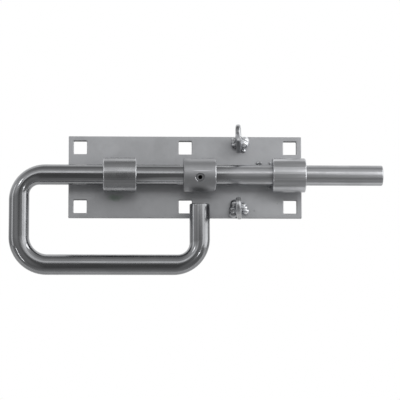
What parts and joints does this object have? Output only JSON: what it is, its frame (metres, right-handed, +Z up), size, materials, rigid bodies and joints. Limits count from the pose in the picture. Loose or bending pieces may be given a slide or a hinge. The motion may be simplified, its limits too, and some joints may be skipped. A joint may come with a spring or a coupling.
{
  "type": "slide bolt",
  "caption": "Heavy welded slide bolt: a bent round bar with a drop handle slides and turns in two tube guides on a flat plate, with a stop collar and padlock eyes.",
  "frame": {"origin": "middle of the plate's back face, on the line of the bolt", "axes": "+X along the bolt towards its nose, +Z up with the handle hanging down, +Y into the door"},
  "size_m": [0.3653, 0.053, 0.1447],
  "materials": {
    "plate_zinc": "zinc plated rolled flat bar, satin, faintly mottled",
    "rod_zinc": "zinc plated drawn bar, fairly bright, with fine lengthwise lines",
    "sleeve_zinc": "zinc plated tube, satin, with bright cut rims",
    "collar_zinc": "zinc plated tube, dull satin",
    "eye_zinc": "zinc plated flat bar, satin, with rounded edges",
    "weld_metal": "zinc plated weld bead, rippled and bright",
    "screw_steel": "blackened steel with a dark socket"
  },
  "bodies": {
    "mounting_plate": {"base_plate": "plate_zinc", "rear_guide_sleeve": "sleeve_zinc", "front_guide_sleeve": "sleeve_zinc", "rear_sleeve_weld_upper": "weld_metal", "rear_sleeve_weld_lower": "weld_metal", "front_sleeve_weld_upper": "weld_metal", "front_sleeve_weld_lower": "weld_metal", "upper_padlock_eye": "eye_zinc", "lower_padlock_eye": "eye_zinc", "upper_eye_weld_rear": "weld_metal", "upper_eye_weld_front": "weld_metal", "lower_eye_weld_rear": "weld_metal", "lower_eye_weld_front": "weld_metal"},
    "collar": {"stop_collar": "collar_zinc", "collar_set_screw": "screw_steel"},
    "bolt": {"bolt_rod": "rod_zinc"}
  },
  "joints": [
    {"name": "bolt_slide", "type": "slide", "parent": "mounting_plate", "child": "collar", "axis": [1, 0, 0], "range_m": [-0.0458, 0.0225]},
    {"name": "handle_turn", "type": "hinge", "parent": "collar", "child": "bolt", "pos_m": [0.01345, -0.02175, 0], "axis": [-1, 0, 0], "range_deg": [-7.5, 187.5]}
  ]
}
